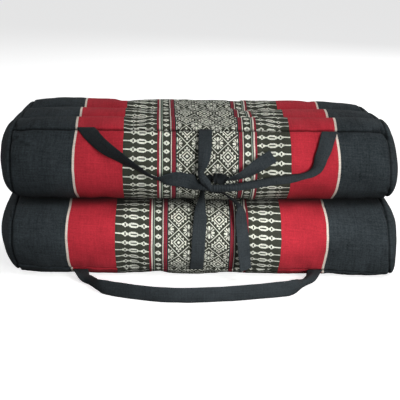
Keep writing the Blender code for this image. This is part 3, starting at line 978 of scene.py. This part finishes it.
# Materials
CHART_BLOCK = 16
CHART_LEVELS = float(2 ** CHART_BLOCK)
CHART_STOPS = 32
THREAD = 0.52
SLUB_ALONG = 0.05
SLUB_ACROSS = 0.7
SLUB_RELIEF = 0.8
SPECK_SCALE = 0.75
SPECK_SHARE = 1.6
CLOUD_SCALE = 0.035
NOISE_MEAN = 2.3
COLOUR_UNEVENNESS = 0.45
STRAP_UNEVENNESS = 0.60
MOTIF_RELIEF = 1.2
WEAR_SCALE = 0.5
PAINTED_OCCLUSION_DISTANCE = 0.012
PAINTED_OCCLUSION_SHADE = 0.5
RELIEF_STRENGTH = 0.55
THREAD_RELIEF = 0.00022
CLOTH_ROUGHNESS = 0.9
CLOTH_SHINE = 0.10


class Net:
    """Short names for making a material's shader nodes."""

    def __init__(self, name):
        self.material = bpy.data.materials.new(name)
        self.material.use_nodes = True
        self.tree = self.material.node_tree
        self.shader = self.tree.nodes["Principled BSDF"]

    def node(self, kind, **values):
        node = self.tree.nodes.new(kind)
        for key, value in values.items():
            setattr(node, key, value)
        return node

    def feed(self, socket, value):
        if isinstance(value, bpy.types.NodeSocket):
            self.tree.links.new(value, socket)
        else:
            socket.default_value = value

    def set(self, name, value):
        self.feed(self.shader.inputs[name], value)

    def math(self, operation, a, b=0.0, c=0.0):
        node = self.node("ShaderNodeMath", operation=operation)
        for socket, value in zip(node.inputs, (a, b, c)):
            self.feed(socket, value)
        return node.outputs[0]

    def mix(self, share, a, b):
        node = self.node("ShaderNodeMix", data_type="RGBA")
        self.feed(node.inputs[0], share)
        self.feed(node.inputs[6], a if isinstance(a, bpy.types.NodeSocket) else (*a, 1.0))
        self.feed(node.inputs[7], b if isinstance(b, bpy.types.NodeSocket) else (*b, 1.0))
        return node.outputs[2]

    def shade(self, colour, factor):
        """The colour made lighter or darker by a factor."""
        node = self.node("ShaderNodeVectorMath", operation="SCALE")
        self.feed(node.inputs[0], colour)
        self.feed(node.inputs[3], factor)
        return node.outputs[0]

    def cloth_uv(self):
        """The two cloth coordinates in millimetres."""
        uv = self.node("ShaderNodeUVMap", uv_map="cloth")
        split = self.node("ShaderNodeSeparateXYZ")
        self.tree.links.new(uv.outputs[0], split.inputs[0])
        return [self.math("MULTIPLY", output, 1.0 / MM) for output in split.outputs[:2]]

    def combine(self, x, y, z=0.0):
        """A vector or a colour. Noise takes z as which of its layers it is."""
        node = self.node("ShaderNodeCombineXYZ")
        for socket, value in zip(node.inputs, (x, y, z)):
            self.feed(socket, value)
        return node.outputs[0]

    def noise(self, vector, scale, detail=2.0):
        """Noise from 0 to 1 about 0.5."""
        node = self.node("ShaderNodeTexNoise")
        self.feed(node.inputs["Vector"], vector)
        node.inputs["Scale"].default_value = scale
        node.inputs["Detail"].default_value = detail
        return node.outputs["Fac"]

    def band(self, value, middle, half):
        """1 within half of middle."""
        return self.math("COMPARE", value, middle, half)

    def chart(self, rows, across, along, column_width, row_height):
        """1 where a text chart has a thread on top. A ramp keeps each row as three numbers, whose binary
        digits are its columns."""
        ramp = self.node("ShaderNodeValToRGB")
        ramp.color_ramp.interpolation = "CONSTANT"
        stops = ramp.color_ramp.elements
        while len(stops) < len(rows):
            stops.new(1.0)
        for i, row in enumerate(rows):
            stops[i].position = i / CHART_STOPS
            digits = row.ljust(3 * CHART_BLOCK, ".").replace("#", "1").replace(".", "0")
            blocks = [digits[k * CHART_BLOCK:(k + 1) * CHART_BLOCK][::-1] for k in range(3)]
            stops[i].color = (*(int(block, 2) / CHART_LEVELS for block in blocks), 1.0)
        row_number = self.math("FLOOR", self.math("DIVIDE", along, row_height))
        row_middle = self.math("ADD", row_number, 0.5)
        self.feed(ramp.inputs[0], self.math("DIVIDE", row_middle, float(CHART_STOPS)))
        split = self.node("ShaderNodeSeparateColor")
        self.tree.links.new(ramp.outputs[0], split.inputs[0])
        column = self.math("FLOOR", self.math("DIVIDE", across, column_width))
        block = self.math("FLOOR", self.math("DIVIDE", column, float(CHART_BLOCK)))
        number = 0.0
        for k in range(math.ceil(len(rows[0]) / CHART_BLOCK)):
            part = self.math("MULTIPLY", split.outputs[k], self.band(block, float(k), 0.1))
            number = self.math("ADD", part, number)
        first = self.math("MULTIPLY", block, float(CHART_BLOCK))
        place = self.math("POWER", 2.0, self.math("SUBTRACT", column, first))
        shifted = self.math("DIVIDE", self.math("MULTIPLY_ADD", number, CHART_LEVELS, 0.25), place)
        return self.math("GREATER_THAN", self.math("MODULO", self.math("FLOOR", shifted), 2.0), 0.5)


def weave(net, u, v, unevenness):
    """Relief of a plain weave in thread heights, and an uneven tint about 1 for its threads."""
    warp, weft = (net.math("SINE", net.math("MULTIPLY", way, math.pi / THREAD)) for way in (u, v))
    relief = net.math("ABSOLUTE", net.math("MULTIPLY", warp, weft))
    long_u, short_u = (net.math("MULTIPLY", u, scale) for scale in (SLUB_ALONG, SLUB_ACROSS))
    long_v, short_v = (net.math("MULTIPLY", v, scale) for scale in (SLUB_ALONG, SLUB_ACROSS))
    along_u = net.noise(net.combine(long_u, short_v), 1.0, 3.0)
    along_v = net.noise(net.combine(short_u, long_v, 7.0), 1.0, 3.0)
    speck = net.noise(net.combine(u, v, 3.0), SPECK_SCALE, 4.0)
    cloud = net.noise(net.combine(u, v, 11.0), CLOUD_SCALE, 2.0)
    slubs = net.math("ADD", along_u, along_v)
    total = net.math("ADD", slubs, net.math("MULTIPLY_ADD", speck, SPECK_SHARE, cloud))
    tint = net.math("MULTIPLY_ADD", net.math("SUBTRACT", total, NOISE_MEAN), unevenness, 1.0)
    return net.math("MULTIPLY_ADD", slubs, SLUB_RELIEF, relief), tint


def finish_cloth(net, colour, height, sheen):
    """The cloth's shader, with painted shade in its colour: darker in creases and where something lies close
    over it.
    """
    # Painted shade: ambient occlusion multiplied into the base colour
    painted_occlusion = net.node("ShaderNodeAmbientOcclusion", samples=8)
    painted_occlusion.inputs["Distance"].default_value = PAINTED_OCCLUSION_DISTANCE
    open_share = net.math("MULTIPLY_ADD", painted_occlusion.outputs["AO"], PAINTED_OCCLUSION_SHADE, 1.0 - PAINTED_OCCLUSION_SHADE)
    # Painted shade from the point attribute, for seams, folds and straps
    painted_shade = net.node("ShaderNodeAttribute", attribute_name="painted_shade").outputs["Fac"]
    colour = net.shade(colour, net.math("MULTIPLY", open_share, net.math("SUBTRACT", 1.0, painted_shade)))
    bump = net.node("ShaderNodeBump")
    bump.inputs["Strength"].default_value = RELIEF_STRENGTH
    bump.inputs["Distance"].default_value = THREAD_RELIEF
    net.feed(bump.inputs["Height"], height)
    net.set("Normal", bump.outputs[0])
    net.set("Base Color", colour)
    net.set("Roughness", CLOTH_ROUGHNESS)
    net.set("Specular IOR Level", CLOTH_SHINE)
    net.set("Sheen Weight", sheen)
    net.set("Sheen Roughness", 0.5)
    return net.material


def cover_material():
    """The patterned cloth: stripes by their distance from the middle line, and charted motifs on them."""
    net = Net("patterned_cloth")
    u, v = net.cloth_uv()
    waver = net.noise(net.combine(net.math("MULTIPLY", u, 0.02), net.math("MULTIPLY", v, 0.05)), 1.0, 1.0)
    wavering_u = net.math("ADD", u, net.math("MULTIPLY_ADD", waver, WAVER, -WAVER / 2))
    side = net.math("DIVIDE", net.math("ABSOLUTE", wavering_u), CLOTH_SCALE)
    colour = None
    for middle, half, shade in STRIPES:
        colour = net.mix(net.band(side, middle, half), colour or BLACK, shade)
    panel_u = net.math("DIVIDE", u, CLOTH_SCALE)
    lattice = net.chart(LATTICE_CHART, net.math("PINGPONG", panel_u, LATTICE_HALF_WIDTH),
                        net.math("PINGPONG", v, REPEAT / 2),
                        LATTICE_HALF_WIDTH / len(LATTICE_CHART[0]), REPEAT / 2 / len(LATTICE_CHART))
    row_v = net.math("PINGPONG", net.math("ADD", v, ROW_REPEAT / 2), ROW_REPEAT / 2)
    row_height = ROW_REPEAT / 2 / len(SPINDLE_CHART)
    spindle_half = SPINDLE_HALF_WIDTH - MOTIF_MARGIN
    spindle_side = net.math("SUBTRACT", side, SPINDLE_MIDDLE - spindle_half)
    spindle = net.chart(SPINDLE_CHART, spindle_side, row_v, SPINDLE_THREAD, row_height)
    diamond_side = net.math("ABSOLUTE", net.math("SUBTRACT", side, DIAMOND_MIDDLE))
    diamond = net.chart(DIAMOND_CHART, diamond_side, row_v, DIAMOND_THREAD, row_height)
    motif = net.math("MULTIPLY", lattice, net.band(side, 0.0, PANEL_HALF_WIDTH - MOTIF_MARGIN))
    motif = net.math("MULTIPLY_ADD", spindle, net.band(side, SPINDLE_MIDDLE, spindle_half), motif)
    motif = net.math("MULTIPLY_ADD", diamond, net.band(side, DIAMOND_MIDDLE, DIAMOND_HALF_WIDTH), motif)
    motif = net.math("MINIMUM", motif, 1.0)
    ground = net.mix(net.band(side, 0.0, PANEL_HALF_WIDTH), colour, GROUND)
    wear = net.noise(net.combine(u, v, 21.0), WEAR_SCALE, 2.0)
    white = net.shade(net.combine(*WHITE), net.math("MULTIPLY_ADD", wear, 0.5, 0.72))
    colour = net.mix(motif, ground, white)
    plain_black = net.math("GREATER_THAN", side, PLAIN_BLACK_FROM)
    unevenness = net.math("MULTIPLY_ADD", plain_black, COLOUR_UNEVENNESS, COLOUR_UNEVENNESS)
    height, tint = weave(net, u, v, unevenness)
    height = net.math("MULTIPLY_ADD", motif, MOTIF_RELIEF, height)
    return finish_cloth(net, net.shade(colour, tint), height, 0.015)


def strap_material():
    """The straps' plain black weave."""
    net = Net("strap_weave")
    u, v = net.cloth_uv()
    height, tint = weave(net, u, v, STRAP_UNEVENNESS)
    return finish_cloth(net, net.shade(net.combine(*STRAP_BLACK), tint), height, 0.02)


def floor_material():
    """A pale matt floor with a little light of its own."""
    net = Net("pale_floor")
    mottle = net.noise(net.node("ShaderNodeTexCoord").outputs["Object"], 4.0)
    net.set("Base Color", net.mix(mottle, FLOOR_COLOUR, [c * 0.98 for c in FLOOR_COLOUR]))
    net.set("Roughness", 0.9)
    net.set("Emission Color", (1.0, 1.0, 1.0, 1.0))
    net.set("Emission Strength", FLOOR_GLOW)
    return net.material


# Stage

def make_camera():
    """The photo's camera: in front, a little above and to the left, rolled slightly."""
    yaw, pitch, roll = (math.radians(a) for a in (CAMERA_YAW, CAMERA_PITCH, CAMERA_ROLL))
    forward = Vector((math.sin(yaw) * math.cos(pitch), math.cos(yaw) * math.cos(pitch), -math.sin(pitch)))
    level = Vector((math.cos(yaw), -math.sin(yaw), 0.0))
    above = level.cross(forward)
    right = level * math.cos(roll) + above * math.sin(roll)
    up = above * math.cos(roll) - level * math.sin(roll)
    data = bpy.data.cameras.new("camera")
    data.sensor_width = SENSOR_WIDTH
    data.lens = FOCAL_PIXELS / PHOTO_PIXELS * SENSOR_WIDTH
    data.clip_start = 0.01
    camera = bpy.data.objects.new("camera", data)
    turn = Matrix((right, up, -forward)).transposed()
    camera.matrix_world = Matrix.Translation(CAMERA_AT) @ turn.to_4x4()
    bpy.context.scene.collection.objects.link(camera)
    bpy.context.scene.camera = camera


def add_lamp(name, kind, at, aim, power, **values):
    """Adds a light that faces its aim."""
    data = bpy.data.lights.new(name, kind)
    data.energy = power
    for key, value in values.items():
        setattr(data, key, value)
    lamp = bpy.data.objects.new(name, data)
    lamp.location = at
    lamp.rotation_euler = (Vector(aim) - Vector(at)).to_track_quat("-Z", "Y").to_euler()
    bpy.context.scene.collection.objects.link(lamp)


def make_stage():
    """The pale floor, the lights and the faint light of the room."""
    sides = ((-1, -FLOOR_REACH), (1, -FLOOR_REACH), (1, FLOOR_BACK), (-1, FLOOR_BACK))
    floor = mesh_object("floor", [(side * FLOOR_REACH, y, FLOOR_Z) for side, y in sides], [(0, 1, 2, 3)])
    floor.data.materials.append(floor_material())
    floor.visible_diffuse = False
    floor.visible_glossy = False
    world = bpy.data.worlds.new("studio")
    world.use_nodes = True
    background = world.node_tree.nodes["Background"]
    background.inputs["Color"].default_value = WORLD_COLOUR
    background.inputs["Strength"].default_value = WORLD_LIGHT
    bpy.context.scene.world = world
    for name, at, (size, size_y), power in LIGHTS:
        add_lamp(name, "AREA", at, LIGHT_AIM, power, shape="RECTANGLE", size=size, size_y=size_y)
    for name, at, aim, power in SPOTS:
        add_lamp(name, "SPOT", at, aim, power, spot_size=math.radians(SPOT_ANGLE), spot_blend=1.0,
                 shadow_soft_size=SPOT_RADIUS)
    bpy.context.scene.view_settings.view_transform = "Standard"


def main():
    """The stage, the two covers, then the hinge cloth and the straps that lie on them."""
    make_camera()
    make_stage()
    cloth = cover_material()
    black_weave = strap_material()
    upper_height = HEIGHT - CONTACT_HEIGHT - GAP / 2
    lower_height = CONTACT_HEIGHT - GAP / 2
    upper = make_cover("upper_cover", upper_height, 0.0, place_upper, 3, UPPER_PANELS, UPPER_WRINKLES,
                       CONTACT_HEIGHT + GAP / 2, 1.0, cloth)
    lower = make_cover("lower_cover", lower_height, FLOOR_SQUASH, place_lower, 8, LOWER_PANELS,
                       LOWER_WRINKLES, 0.0, lower_height, cloth)
    surfaces = []
    for cover, node in ((upper, "upper_block"), (lower, "lower_block")):
        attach(cover, "root")
        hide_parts(node)
        vertices = [vertex.co for vertex in cover.data.vertices]
        surfaces.append(BVHTree.FromPolygons(vertices, [face.vertices for face in cover.data.polygons]))
    hinge = make_hinge("hinge_cloth", surfaces, black_weave)
    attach(hinge, "root")
    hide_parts("hinge_strip")
    upper_rest = ["upper_cover", "upper_handle_strap"]
    lower_rest = ["lower_cover", "upper_handle_strap"]
    for name, node, rows, held, rests_on, seed in (
            ("upper_handle_strap", "upper_handle", UPPER_HANDLE_ROWS, "hung", ["upper_cover"], 41),
            ("lower_handle_strap", "lower_handle", LOWER_HANDLE_ROWS, "laid", ["lower_cover"], 42),
            ("upper_tie_ribbon", "upper_tie", UPPER_TIE_ROWS, "hung", upper_rest, 43),
            ("lower_tie_ribbon", "lower_tie", LOWER_TIE_ROWS, "hung", lower_rest, 44)):
        is_handle = node.endswith("handle")
        width = HANDLE_WIDTH if is_handle else TIE_WIDTH
        level_of = handle_level if is_handle else tie_level
        strap, length = make_strap(name, rows, width, level_of, is_handle, surfaces, black_weave, seed)
        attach(strap, "root")
        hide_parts(node)


main()
